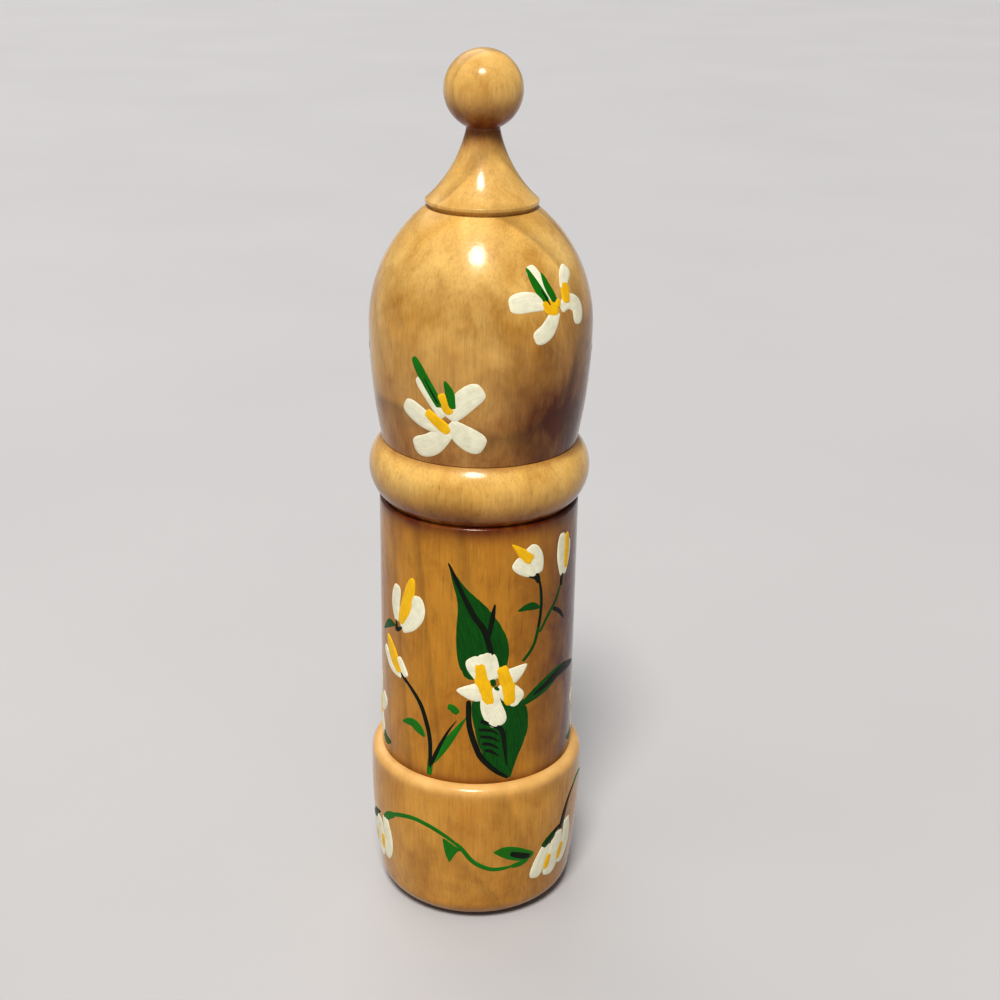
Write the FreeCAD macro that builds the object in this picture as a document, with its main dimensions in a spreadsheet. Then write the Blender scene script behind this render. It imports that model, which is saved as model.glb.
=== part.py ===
"""A turned wooden needle case: foot, tube, and a lift-off cap of ring, dome and finial.

Every wooden piece is a turning about the Z axis, so its sketch is half of its section: the
sketch's x is the distance from the axis and its y is the height above the table.
Six loose steel needles stand in the bore. Sizes are in millimetres.
"""
import FreeCAD
import Part
import Sketcher
import math
import os

SIZES = {
    "total_height": 110.0,
    # foot
    "foot_radius": 12.9,
    "foot_round": 3.0,
    "foot_belly_curve": 90.0,
    "rim_radius": 13.9,
    "rim_height": 20.7,
    "rim_round": 1.2,
    "floor_height": 6.0,
    # tube
    "tube_radius": 12.5,
    "tube_edge": 0.5,
    "tenon_radius": 10.5,
    "bore_radius": 7.5,
    "seam_height": 55.9,
    "seam_gap": 0.06,
    "spigot_radius": 9.4,
    "spigot_length": 10.0,
    "spigot_lead": 0.6,
    "spigot_gap": 0.08,
    "glue_gap": 0.05,
    # ring
    "ring_foot_radius": 12.0,
    "ring_radius": 13.75,
    "ring_middle": 59.9,
    "crease_radius": 12.1,
    "crease_height": 63.4,
    "dome_tenon_radius": 11.0,
    "dome_tenon_length": 1.5,
    # dome
    "dome_radius": 13.55,
    "dome_widest": 77.8,
    "crown_radius": 6.75,
    "crown_height": 91.9,
    "dome_edge": 0.2,
    "ceiling_height": 84.5,
    "ceiling_round": 3.0,
    # finial
    "peg_radius": 2.5,
    "peg_length": 5.5,
    "collar_foot_radius": 6.35,
    "collar_foot": 0.5,
    "collar_cove": 0.6,
    "collar_radius": 6.75,
    "collar_edge": 0.4,
    "collar_round": 0.15,
    "cone_curve": 15.0,
    "neck_radius": 2.0,
    "neck_height": 100.9,
    "ball_radius": 4.65,
}

# Each needle: length, thickness, length and width of the eye, radius of the tip.
NEEDLES = {
    "darner_long": (54.0, 1.2, 3.6, 0.5, 0.06),
    "darner_short": (48.0, 1.0, 3.2, 0.42, 0.05),
    "tapestry": (43.0, 1.15, 3.8, 0.55, 0.3),
    "sharp_long": (41.0, 0.95, 1.6, 0.36, 0.04),
    "sharp_short": (36.0, 0.8, 1.4, 0.3, 0.04),
    "between": (30.0, 0.75, 1.3, 0.3, 0.04),
}

# Where each needle leans in the bore: the distance from the axis and the compass angle of its
# point, the angle of its head, which rests against the wall, and the turn of its eye.
NEEDLE_LEAN = {
    "darner_long": (4.6, 4.0, 22.0, 20.0),
    "darner_short": (4.4, 44.0, 58.0, 75.0),
    "tapestry": (4.2, -38.0, -50.0, -30.0),
    "sharp_long": (2.6, 12.0, -14.0, 50.0),
    "sharp_short": (5.6, -12.0, -30.0, 110.0),
    "between": (5.9, 26.0, 40.0, -60.0),
}

NEEDLE_CLEARANCE = 0.2
NEEDLE_TAPER = 0.16
TOLERANCE = 1e-4

# Sketcher's numbers for the axes, the origin point and an arc's centre.
H_AXIS = -1
V_AXIS = -2
ORIGIN = (-1, 1)
CENTRE = 3


def make_sheet(doc):
    """Write the driving dimensions into the spreadsheet, one named cell each."""
    sheet = doc.addObject("Spreadsheet::Sheet", "Sizes")
    rows = dict(SIZES)
    for kind, numbers in NEEDLES.items():
        fields = ("length", "thickness", "eye_length", "eye_width", "tip_radius")
        for field, number in zip(fields, numbers):
            rows[kind + "_" + field] = number
    for row, (alias, number) in enumerate(rows.items(), start=1):
        sheet.set("A%d" % row, alias)
        sheet.set("B%d" % row, "%g" % number)
        sheet.setAlias("B%d" % row, alias)
    doc.recompute()
    return sheet


def make_body(doc, label):
    body = doc.addObject("PartDesign::Body", label)
    body.Label = label
    return body


def origin_plane(body, role):
    for feature in body.Origin.OriginFeatures:
        if feature.Role == role:
            return feature
    raise ValueError("no plane " + role)


def make_sketch(body, name, role="XZ_Plane"):
    sketch = body.newObject("Sketcher::SketchObject", name)
    sketch.AttachmentSupport = [(origin_plane(body, role), "")]
    sketch.MapMode = "FlatFace"
    return sketch


class Arc:
    """A round edge. Its centre lies left (1) or right (-1) of the way from its start to its end.

    With a radius, an expression in the sheet's names, the radius is bound to the sheet.
    Without one, the centre is level with the start or the end, whichever level names, so
    that the outline runs straight up there.
    """

    def __init__(self, side, radius=None, level=None):
        self.side = side
        self.radius = radius
        self.level = level

    def radius_between(self, sketch, start, end):
        if self.level is None:
            return number(sketch, self.radius)
        chord = end - start
        return chord.Length ** 2 / (2 * abs(chord.x))

    def centre_between(self, start, end, radius):
        chord = end - start
        middle = (start + end) * 0.5
        across = FreeCAD.Vector(-chord.y, chord.x, 0).normalize()
        height = math.sqrt(max(radius ** 2 - (chord.Length / 2) ** 2, 0.0))
        return middle + across * height * self.side


def number(item, size):
    """The value of an expression in the sheet's names, worked out by one of the document's items."""
    return float(item.evalExpression(size))


def add_edge(sketch, start, end, arc):
    """Add a line or arc; return its index and which of its points are its start and end."""
    if arc is None:
        index = sketch.addGeometry(Part.LineSegment(start, end), False)
        return index, 1, 2
    radius = arc.radius_between(sketch, start, end)
    centre = arc.centre_between(start, end, radius)
    angles = [math.atan2(p.y - centre.y, p.x - centre.x) for p in (start, end)]
    if arc.side < 0:
        angles.reverse()
    if angles[1] < angles[0]:
        angles[1] += 2 * math.pi
    circle = Part.Circle(centre, FreeCAD.Vector(0, 0, 1), radius)
    index = sketch.addGeometry(Part.ArcOfCircle(circle, *angles), False)
    return (index, 1, 2) if arc.side > 0 else (index, 2, 1)


def bind(sketch, kind, place, size):
    """Constrain a size and tie it to the sheet; a zero distance puts the point on an axis."""
    value = number(sketch, size)
    if kind in ("DistanceX", "DistanceY"):
        if abs(value) < TOLERANCE:
            axis = V_AXIS if kind == "DistanceX" else H_AXIS
            sketch.addConstraint(Sketcher.Constraint("PointOnObject", *place, axis))
            return
        place = ORIGIN + place
    index = sketch.addConstraint(Sketcher.Constraint(kind, *place, value))
    sketch.setExpression("Constraints[%d]" % index, size)


def draw_outline(sketch, corners, arcs):
    """Draw a closed outline through corners; edge n, from corner n to the next, may be an arc.

    A corner is a pair of expressions in the sheet's names. arcs maps an edge's number to
    its Arc, and every other edge is straight.
    """
    points = [FreeCAD.Vector(number(sketch, x), number(sketch, y), 0) for x, y in corners]
    count = len(corners)
    edges = []
    for i in range(count):
        edges.append(add_edge(sketch, points[i], points[(i + 1) % count], arcs.get(i)))
    for i, (index, first, last) in enumerate(edges):
        following, its_first, _ = edges[(i + 1) % count]
        sketch.addConstraint(
            Sketcher.Constraint("Coincident", index, last, following, its_first))
    for i, (x, y) in enumerate(corners):
        place = edges[i][:2]
        bind(sketch, "DistanceX", place, x)
        bind(sketch, "DistanceY", place, y)
    for i, arc in arcs.items():
        index, first, last = edges[i]
        if arc.level is None:
            bind(sketch, "Radius", (index,), arc.radius)
        else:
            end = first if arc.level == "start" else last
            sketch.addConstraint(Sketcher.Constraint("Horizontal", index, CENTRE, index, end))
    solve(sketch)


def solve(sketch):
    if sketch.solve() != 0:
        raise RuntimeError("sketch %s does not solve" % sketch.Name)


def revolve(body, sketch, name):
    turning = body.newObject("PartDesign::Revolution", name)
    turning.Profile = sketch
    turning.ReferenceAxis = (sketch, ["V_Axis"])
    turning.Angle = 360
    body.Document.recompute()


def round_circles(body, name, size, circles):
    """Round the circular edges whose radius and height are given as expressions."""
    base = body.Tip
    names = []
    for radius, height in circles:
        around = 2 * math.pi * number(body, radius)
        level = number(body, height)
        for i, edge in enumerate(base.Shape.Edges, start=1):
            if not edge.isClosed() or abs(edge.Length - around) > TOLERANCE:
                continue
            if abs(edge.CenterOfMass.z - level) < TOLERANCE:
                names.append("Edge%d" % i)
    if len(names) != len(circles):
        raise RuntimeError("%s: %d edges for %d circles" % (name, len(names), len(circles)))
    fillet = body.newObject("PartDesign::Fillet", name)
    fillet.Base = (base, names)
    fillet.setExpression("Radius", size)
    body.Document.recompute()


def build_base_cup(doc):
    """The foot: a cup with a rounded rim that the tube's lower tenon is glued into."""
    body = make_body(doc, "base_cup")
    sketch = make_sketch(body, "base_cup_section")
    socket = "Sizes.tenon_radius + Sizes.glue_gap"
    corners = [
        ("0", "0"),
        ("Sizes.foot_radius - Sizes.foot_round", "0"),
        ("Sizes.foot_radius", "Sizes.foot_round"),
        ("Sizes.rim_radius", "Sizes.rim_height - Sizes.rim_round"),
        ("Sizes.rim_radius - Sizes.rim_round", "Sizes.rim_height"),
        (socket, "Sizes.rim_height"),
        (socket, "Sizes.floor_height"),
        ("0", "Sizes.floor_height"),
    ]
    arcs = {
        1: Arc(1, "Sizes.foot_round"),
        2: Arc(1, "Sizes.foot_belly_curve"),
        3: Arc(1, "Sizes.rim_round"),
    }
    draw_outline(sketch, corners, arcs)
    revolve(body, sketch, "base_cup_turning")
    return body


def build_case_tube(doc):
    """The tube: tenon below, straight wall, shoulder at the seam, and the spigot above it."""
    body = make_body(doc, "case_tube")
    sketch = make_sketch(body, "case_tube_section")
    tenon_end = "Sizes.floor_height + Sizes.glue_gap"
    shoulder = "Sizes.seam_height - Sizes.seam_gap"
    spigot_top = "Sizes.seam_height + Sizes.spigot_length"
    corners = [
        ("Sizes.bore_radius", tenon_end),
        ("Sizes.tenon_radius", tenon_end),
        ("Sizes.tenon_radius", "Sizes.rim_height"),
        ("Sizes.tube_radius", "Sizes.rim_height"),
        ("Sizes.tube_radius", shoulder + " - Sizes.tube_edge"),
        ("Sizes.tube_radius - Sizes.tube_edge", shoulder),
        ("Sizes.spigot_radius", shoulder),
        ("Sizes.spigot_radius", spigot_top + " - Sizes.spigot_lead"),
        ("Sizes.spigot_radius - Sizes.spigot_lead", spigot_top),
        ("Sizes.bore_radius", spigot_top),
    ]
    arcs = {4: Arc(1, "Sizes.tube_edge"), 7: Arc(1, "Sizes.spigot_lead")}
    draw_outline(sketch, corners, arcs)
    revolve(body, sketch, "case_tube_turning")
    return body


def build_cap_ring(doc):
    """The ring: a half-round bead outside, the spigot's socket inside, the dome's seat above."""
    body = make_body(doc, "cap_ring")
    sketch = make_sketch(body, "cap_ring_section")
    socket = "Sizes.spigot_radius + Sizes.spigot_gap"
    seat = "Sizes.dome_tenon_radius + Sizes.glue_gap"
    seat_floor = "Sizes.crease_height - Sizes.dome_tenon_length"
    corners = [
        (socket + " + Sizes.spigot_lead", "Sizes.seam_height"),
        ("Sizes.ring_foot_radius", "Sizes.seam_height"),
        ("Sizes.ring_radius", "Sizes.ring_middle"),
        ("Sizes.crease_radius", "Sizes.crease_height"),
        (seat, "Sizes.crease_height"),
        (seat, seat_floor),
        (socket, seat_floor),
        (socket, "Sizes.seam_height + Sizes.spigot_lead"),
    ]
    arcs = {1: Arc(1, level="end"), 2: Arc(1, level="start")}
    draw_outline(sketch, corners, arcs)
    revolve(body, sketch, "cap_ring_turning")
    return body


def build_cap_dome(doc):
    """The dome: two flowing arcs outside, one straight drilling with a rounded end inside."""
    body = make_body(doc, "cap_dome")
    sketch = make_sketch(body, "cap_dome_section")
    hollow = "Sizes.spigot_radius + Sizes.spigot_gap"
    tenon_end = "Sizes.crease_height - Sizes.dome_tenon_length"
    peg_hole = "Sizes.peg_radius + Sizes.glue_gap"
    peg_floor = "Sizes.crown_height - Sizes.peg_length - Sizes.glue_gap"
    corners = [
        (hollow, tenon_end),
        ("Sizes.dome_tenon_radius", tenon_end),
        ("Sizes.dome_tenon_radius", "Sizes.crease_height"),
        ("Sizes.crease_radius", "Sizes.crease_height"),
        ("Sizes.dome_radius", "Sizes.dome_widest"),
        ("Sizes.crown_radius", "Sizes.crown_height"),
        (peg_hole, "Sizes.crown_height"),
        (peg_hole, peg_floor),
        ("0", peg_floor),
        ("0", "Sizes.ceiling_height"),
        (hollow + " - Sizes.ceiling_round", "Sizes.ceiling_height"),
        (hollow, "Sizes.ceiling_height - Sizes.ceiling_round"),
    ]
    arcs = {
        3: Arc(1, level="end"),
        4: Arc(1, level="start"),
        10: Arc(-1, "Sizes.ceiling_round"),
    }
    draw_outline(sketch, corners, arcs)
    revolve(body, sketch, "cap_dome_turning")
    circles = [("Sizes.crease_radius", "Sizes.crease_height")]
    round_circles(body, "cap_dome_edge", "Sizes.dome_edge", circles)
    return body


def build_finial(doc):
    """The finial: glued peg, collar, hollow-sided cone, neck and ball, turned in one piece."""
    body = make_body(doc, "finial")
    sketch = make_sketch(body, "finial_section")
    peg_end = "Sizes.crown_height - Sizes.peg_length"
    collar_base = "Sizes.crown_height + Sizes.collar_foot"
    collar_top = collar_base + " + Sizes.collar_edge"
    ball_centre = "Sizes.total_height - Sizes.ball_radius"
    ball_drop = "sqrt(Sizes.ball_radius ^ 2 - Sizes.neck_radius ^ 2)"
    corners = [
        ("0", peg_end),
        ("Sizes.peg_radius", peg_end),
        ("Sizes.peg_radius", "Sizes.crown_height"),
        ("Sizes.collar_foot_radius", "Sizes.crown_height"),
        ("Sizes.collar_radius", collar_base),
        ("Sizes.collar_radius", collar_top),
        ("Sizes.neck_radius", "Sizes.neck_height"),
        ("Sizes.neck_radius", ball_centre + " - " + ball_drop),
        ("0", "Sizes.total_height"),
    ]
    arcs = {
        3: Arc(-1, "Sizes.collar_cove"),
        5: Arc(-1, "Sizes.cone_curve"),
        7: Arc(1, "Sizes.ball_radius"),
    }
    draw_outline(sketch, corners, arcs)
    revolve(body, sketch, "finial_turning")
    circles = [
        ("Sizes.collar_radius", collar_base),
        ("Sizes.collar_radius", collar_top),
    ]
    round_circles(body, "finial_collar_edge", "Sizes.collar_round", circles)
    return body


def build_needle(doc, kind):
    """A needle: a long taper to the point, a straight shank, a round head and a slotted eye."""
    label = "needle_" + kind
    body = make_body(doc, label)
    section = make_sketch(body, label + "_section")
    cell = "Sizes." + kind + "_"
    radius = cell + "thickness / 2"
    head = cell + "length - " + radius
    corners = [
        ("0", "0"),
        (cell + "tip_radius", cell + "tip_radius"),
        (radius, "%g * %slength" % (NEEDLE_TAPER, cell)),
        (radius, head),
        ("0", cell + "length"),
    ]
    arcs = {0: Arc(1, cell + "tip_radius"), 3: Arc(1, radius)}
    draw_outline(section, corners, arcs)
    revolve(body, section, label + "_shank")
    shank_volume = body.Shape.Volume

    slot = make_sketch(body, label + "_eye_outline")
    half = cell + "eye_width / 2"
    top = cell + "length - " + cell + "thickness - " + half
    bottom = top + " - (%seye_length - %seye_width)" % (cell, cell)
    corners = [("-" + half, top), ("-" + half, bottom), (half, bottom), (half, top)]
    arcs = {1: Arc(1, level="start"), 3: Arc(1, level="start")}
    draw_outline(slot, corners, arcs)
    eye = body.newObject("PartDesign::Pocket", label + "_eye")
    eye.Profile = slot
    eye.Type = "ThroughAll"
    eye.Midplane = True
    doc.recompute()
    if body.Shape.Volume > shank_volume - TOLERANCE:
        raise RuntimeError("the eye of %s cuts nothing" % label)
    body.Placement = needle_placement(body, kind)
    doc.recompute()
    return body


def needle_placement(body, kind):
    """Stand the needle on the floor of the bore with its head leaning on the wall."""
    reach, point_angle, head_angle, turn = NEEDLE_LEAN[kind]
    length = number(body, "Sizes.%s_length" % kind)
    wall = number(body, "Sizes.bore_radius - Sizes.%s_thickness / 2" % kind)
    point = polar(reach, point_angle)
    lean = polar(wall - NEEDLE_CLEARANCE, head_angle) - point
    lean.z = math.sqrt(length ** 2 - lean.Length ** 2)
    point.z = number(body, "Sizes.floor_height") + NEEDLE_CLEARANCE
    tilt = FreeCAD.Rotation(FreeCAD.Vector(0, 0, 1), lean)
    spin = FreeCAD.Rotation(FreeCAD.Vector(0, 0, 1), turn)
    return FreeCAD.Placement(point, tilt * spin)


def polar(radius, angle):
    turned = math.radians(angle)
    return FreeCAD.Vector(radius * math.cos(turned), radius * math.sin(turned), 0)


def check_document(doc, bodies):
    """Stop unless every object computed and every piece is one valid closed solid."""
    for item in doc.Objects:
        if "Invalid" in item.State or "Error" in item.State:
            raise RuntimeError("%s failed: %s" % (item.Name, item.State))
    for body in bodies:
        shape = body.Shape
        if shape.isNull() or not shape.isValid() or len(shape.Solids) != 1:
            raise RuntimeError("%s is not one valid solid" % body.Label)


def main():
    doc = FreeCAD.newDocument("needle_case")
    make_sheet(doc)
    bodies = [
        build_base_cup(doc),
        build_case_tube(doc),
        build_cap_ring(doc),
        build_cap_dome(doc),
        build_finial(doc),
    ]
    for kind in NEEDLES:
        bodies.append(build_needle(doc, kind))
    doc.recompute()
    check_document(doc, bodies)
    os.makedirs("parts", exist_ok=True)
    for body in bodies:
        body.Shape.exportStep(os.path.join("parts", body.Label + ".step"))
        print("%-22s %10.2f mm3" % (body.Label, body.Shape.Volume))


main()
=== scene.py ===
import math
import random

import bpy
import numpy as np
from mathutils import Matrix, Vector
from mathutils.bvhtree import BVHTree


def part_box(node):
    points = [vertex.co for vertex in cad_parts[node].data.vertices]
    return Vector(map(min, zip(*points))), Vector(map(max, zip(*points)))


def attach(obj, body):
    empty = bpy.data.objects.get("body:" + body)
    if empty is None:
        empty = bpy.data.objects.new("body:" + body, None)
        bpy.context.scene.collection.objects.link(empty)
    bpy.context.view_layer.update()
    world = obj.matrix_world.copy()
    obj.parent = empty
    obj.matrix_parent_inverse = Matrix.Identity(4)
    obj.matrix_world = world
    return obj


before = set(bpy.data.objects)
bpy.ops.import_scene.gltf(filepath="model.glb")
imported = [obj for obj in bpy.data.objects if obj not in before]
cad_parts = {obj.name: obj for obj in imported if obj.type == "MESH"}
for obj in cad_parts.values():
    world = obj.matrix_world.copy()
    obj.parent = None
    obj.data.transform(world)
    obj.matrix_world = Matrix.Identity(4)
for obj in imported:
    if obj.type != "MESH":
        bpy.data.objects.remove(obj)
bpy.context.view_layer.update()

MM = 0.001

# Heights of the joints between the pieces, read from the frame. They are in metres.
RIM_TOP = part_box("base_cup")[1].z
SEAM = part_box("cap_ring")[0].z
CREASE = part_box("cap_ring")[1].z
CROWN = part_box("cap_dome")[1].z
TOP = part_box("finial")[1].z


# ---------------------------------------------------------------- node helpers

class Tree:
    """A material's node tree, with short calls for the nodes used here."""

    def __init__(self, name):
        self.material = bpy.data.materials.new(name)
        self.material.use_nodes = True
        self.nodes = self.material.node_tree.nodes
        self.links = self.material.node_tree.links
        self.nodes.clear()
        self.shader = self.nodes.new("ShaderNodeBsdfPrincipled")
        output = self.nodes.new("ShaderNodeOutputMaterial")
        self.links.new(self.shader.outputs[0], output.inputs["Surface"])

    def feed(self, socket, value):
        """Link a node's output to a socket, or set the socket to a constant."""
        if isinstance(value, bpy.types.NodeSocket):
            self.links.new(value, socket)
        else:
            socket.default_value = value

    def place(self, scale=(1, 1, 1), shift=(0, 0, 0), turn=(0, 0, 0)):
        """The object's own coordinates in millimetres, shifted, turned and scaled."""
        coordinates = self.nodes.new("ShaderNodeTexCoord")
        millimetres = self.nodes.new("ShaderNodeMapping")
        millimetres.inputs["Scale"].default_value = (1000, 1000, 1000)
        self.links.new(coordinates.outputs["Object"], millimetres.inputs["Vector"])
        mapping = self.nodes.new("ShaderNodeMapping")
        mapping.inputs["Location"].default_value = shift
        mapping.inputs["Rotation"].default_value = turn
        mapping.inputs["Scale"].default_value = scale
        self.links.new(millimetres.outputs[0], mapping.inputs["Vector"])
        return mapping.outputs[0]

    def attribute(self, name):
        node = self.nodes.new("ShaderNodeAttribute")
        node.attribute_name = name
        return node.outputs["Vector"]

    def scaled(self, vector, scale):
        node = self.nodes.new("ShaderNodeMapping")
        node.inputs["Scale"].default_value = scale
        self.links.new(vector, node.inputs["Vector"])
        return node.outputs[0]

    def noise(self, vector, scale=1.0, detail=4.0, rough=0.55, warp=0.0):
        node = self.nodes.new("ShaderNodeTexNoise")
        node.inputs["Scale"].default_value = scale
        node.inputs["Detail"].default_value = detail
        node.inputs["Roughness"].default_value = rough
        node.inputs["Distortion"].default_value = warp
        self.links.new(vector, node.inputs["Vector"])
        return node.outputs["Fac"]

    def rings(self, vector, scale, distortion, detail_scale):
        node = self.nodes.new("ShaderNodeTexWave")
        node.wave_type = "RINGS"
        node.rings_direction = "Z"
        node.wave_profile = "SAW"
        node.inputs["Scale"].default_value = scale
        node.inputs["Distortion"].default_value = distortion
        node.inputs["Detail"].default_value = 3.0
        node.inputs["Detail Scale"].default_value = detail_scale
        self.links.new(vector, node.inputs["Vector"])
        return node.outputs["Fac"]

    def ramp(self, value, *stops):
        """Colour stops are (position, (r, g, b)); grey stops are (position, level)."""
        node = self.nodes.new("ShaderNodeValToRGB")
        elements = node.color_ramp.elements
        while len(elements) < len(stops):
            elements.new(1.0)
        for element, (position, tone) in zip(elements, stops):
            element.position = position
            colour = tone if isinstance(tone, tuple) else (tone, tone, tone)
            element.color = (*colour, 1.0)
        self.feed(node.inputs["Fac"], value)
        return node.outputs["Color"]

    def math(self, operation, *values):
        node = self.nodes.new("ShaderNodeMath")
        node.operation = operation
        for socket, value in zip(node.inputs, values):
            self.feed(socket, value)
        return node.outputs[0]

    def mix(self, blend, amount, first, second):
        node = self.nodes.new("ShaderNodeMix")
        node.data_type = "RGBA"
        node.blend_type = blend
        self.feed(node.inputs["Factor"], amount)
        for key, value in (("A", first), ("B", second)):
            socket = next(s for s in node.inputs if s.name == key and s.type == "RGBA")
            self.feed(socket, (*value, 1.0) if isinstance(value, tuple) else value)
        return next(s for s in node.outputs if s.type == "RGBA")

    def bump(self, height, strength, distance, below=None):
        node = self.nodes.new("ShaderNodeBump")
        node.inputs["Strength"].default_value = strength
        node.inputs["Distance"].default_value = distance
        self.links.new(height, node.inputs["Height"])
        if below is not None:
            self.links.new(below, node.inputs["Normal"])
        return node.outputs["Normal"]

    def length(self, vector):
        node = self.nodes.new("ShaderNodeVectorMath")
        node.operation = "LENGTH"
        self.links.new(vector, node.inputs[0])
        return node.outputs["Value"]

    def less(self, value, limit):
        return self.math("LESS_THAN", value, limit)

    def radius(self):
        """Distance from the axis, in millimetres."""
        return self.length(self.place((1, 1, 0)))

    def height(self):
        """Height above the floor, in millimetres."""
        split = self.nodes.new("ShaderNodeSeparateXYZ")
        self.links.new(self.place(), split.inputs[0])
        return split.outputs["Z"]


# ---------------------------------------------------------------- materials

# Dark tone for bands of stain and painted shade in the creases, under the bead and the ball, at the foot and
# low on the dome.
STAIN_AND_SHADE = (0.28, 0.10, 0.035)
# Dark tone for patches of painted shade and painted reflection on the right-hand sides.
SHADE_PATCH = (0.22, 0.07, 0.02)
BARE = (0.55, 0.34, 0.15)
# Pale tone for the rim lip: wear, and painted light where the lip faces the lamp.
WORN_AND_LIT = (0.80, 0.50, 0.20)


class Look:
    """How one turned piece is finished. Colours are linear, heights and radii are millimetres.

    The stain-and-shade bands and the worn-and-lit rim band are bands for near_heights, the shade patches are
    streaks for the shade-patch mask, and bare is the radius and the height inside which the wood has no
    lacquer. figure and flecks are strengths.
    The stain-and-shade bands are stain and painted shade; the shade patches are painted shade and painted
    reflection; the rim band is wear and painted light.
    """

    def __init__(self, pale, dark, shift, turn, stains_and_shade=(), shade_patches=(), worn_and_lit=(), bare=(0, 0),
                 figure=1.0, flecks=0.6):
        self.pale = pale
        self.dark = dark
        self.shift = shift
        self.turn = turn
        self.stains_and_shade = stains_and_shade
        self.shade_patches = shade_patches
        self.worn_and_lit = worn_and_lit
        self.bare = bare
        self.figure = figure
        self.flecks = flecks


def near_heights(tree, bands):
    """From 0 to 1 close to each (height, reach, strength) band. The bands are stain and painted shade, and
    on the rim wear and painted light.
    """
    height = tree.height()
    ragged = tree.ramp(tree.noise(tree.place((1, 1, 0.5)), 0.4, 3.0, 0.6), (0.25, 0.7), (0.7, 1.15))
    total = None
    for level, reach, strength in bands:
        away = tree.math("ABSOLUTE", tree.math("SUBTRACT", height, level))
        steps = tree.math("DIVIDE", away, reach)
        fade = tree.math("POWER", math.e, tree.math("MULTIPLY", tree.math("MULTIPLY", steps, steps), -1.0))
        near = tree.math("MULTIPLY", tree.math("MULTIPLY", fade, strength), ragged)
        total = near if total is None else tree.math("MAXIMUM", total, near)
    return tree.math("MINIMUM", total, 1.0)


def in_shade_patches(tree, shade_patches):
    """From 0 to 1 inside each (around in degrees, radius, height, size, length, strength) dark patch of
    painted shade and painted reflection.
    """
    ragged = tree.math("SUBTRACT", tree.noise(tree.place((1, 1, 0.5)), 0.22, 4.0, 0.6, 0.5), 0.5)
    total = None
    for around, radius, height, size, length, strength in shade_patches:
        turn = math.radians(around)
        centre = (radius * math.sin(turn), -radius * math.cos(turn), height)
        scale = (1 / size, 1 / size, 1 / length)
        shift = tuple(-c * k for c, k in zip(centre, scale))
        away = tree.length(tree.place(scale, shift))
        edge = tree.math("ADD", tree.math("MULTIPLY", away, 0.6), ragged)
        inside = tree.math("MULTIPLY", tree.ramp(edge, (0.15, 1.0), (0.45, 0.45), (0.8, 0.0)), strength)
        total = inside if total is None else tree.math("MAXIMUM", total, inside)
    return total


def wood_tone(tree, look, fibre):
    """Growth rings, mottling, fibres, flecks and pores, then dark bands of stain and painted shade, dark
    patches of painted shade and painted reflection, and a pale rim band of wear and painted light.
    """
    shift = look.shift
    rings = tree.rings(tree.place((1, 1, 0.35), shift, look.turn), 0.085, 5.0, 0.16)
    mottle = tree.noise(tree.place((1, 1, 0.6), shift), 0.11, 3.0, 0.6, 0.6)
    cloud = tree.noise(tree.place((1, 1, 0.8), shift), 0.35, 4.0, 0.6, 0.4)
    fleck = tree.noise(tree.place((2.4, 2.4, 0.45), shift), 1.3, 2.0, 0.5)
    pore = tree.noise(tree.place((7.0, 7.0, 2.2), shift), 1.0, 2.0, 0.5)
    middle = tuple((p + d) / 2 for p, d in zip(look.pale, look.dark))
    tone = tree.ramp(mottle, (0.28, look.pale), (0.52, middle), (0.76, look.dark))
    ring_tone = tree.ramp(rings, (0.0, 1.0), (0.68, 0.94), (0.92, 0.62), (1.0, 0.96))
    tone = tree.mix("MULTIPLY", 0.62 * look.figure, tone, ring_tone)
    cloud_tone = tree.ramp(cloud, (0.32, (1.15, 1.1, 1.0)), (0.5, (1, 1, 1)), (0.72, (0.76, 0.64, 0.5)))
    tone = tree.mix("MULTIPLY", 0.6, tone, cloud_tone)
    fibre_tone = tree.ramp(fibre, (0.3, 1.12), (0.5, 1.0), (0.72, 0.72))
    tone = tree.mix("MULTIPLY", 0.7, tone, fibre_tone)
    fleck_tone = tree.ramp(fleck, (0.0, 1.0), (0.64, 1.0), (0.72, 0.55))
    tone = tree.mix("MULTIPLY", look.flecks, tone, fleck_tone)
    pore_tone = tree.ramp(pore, (0.0, 1.0), (0.66, 1.0), (0.75, 0.55))
    tone = tree.mix("MULTIPLY", 0.6 * look.flecks, tone, pore_tone)
    # Dark patches of painted shade and painted reflection on the right-hand sides of the tube and the dome.
    if look.shade_patches:
        tone = tree.mix("MULTIPLY", in_shade_patches(tree, look.shade_patches), tone, SHADE_PATCH)
    # Dark bands of stain and painted shade: in the creases between the pieces, under the bead and the ball,
    # at the foot and low on the dome.
    if look.stains_and_shade:
        tone = tree.mix("MULTIPLY", near_heights(tree, look.stains_and_shade), tone, STAIN_AND_SHADE)
    # A pale band on the rim lip: wear, and painted light where the lip faces the lamp.
    if look.worn_and_lit:
        tone = tree.mix("MIX", near_heights(tree, look.worn_and_lit), tone, WORN_AND_LIT)
    return tone


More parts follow.
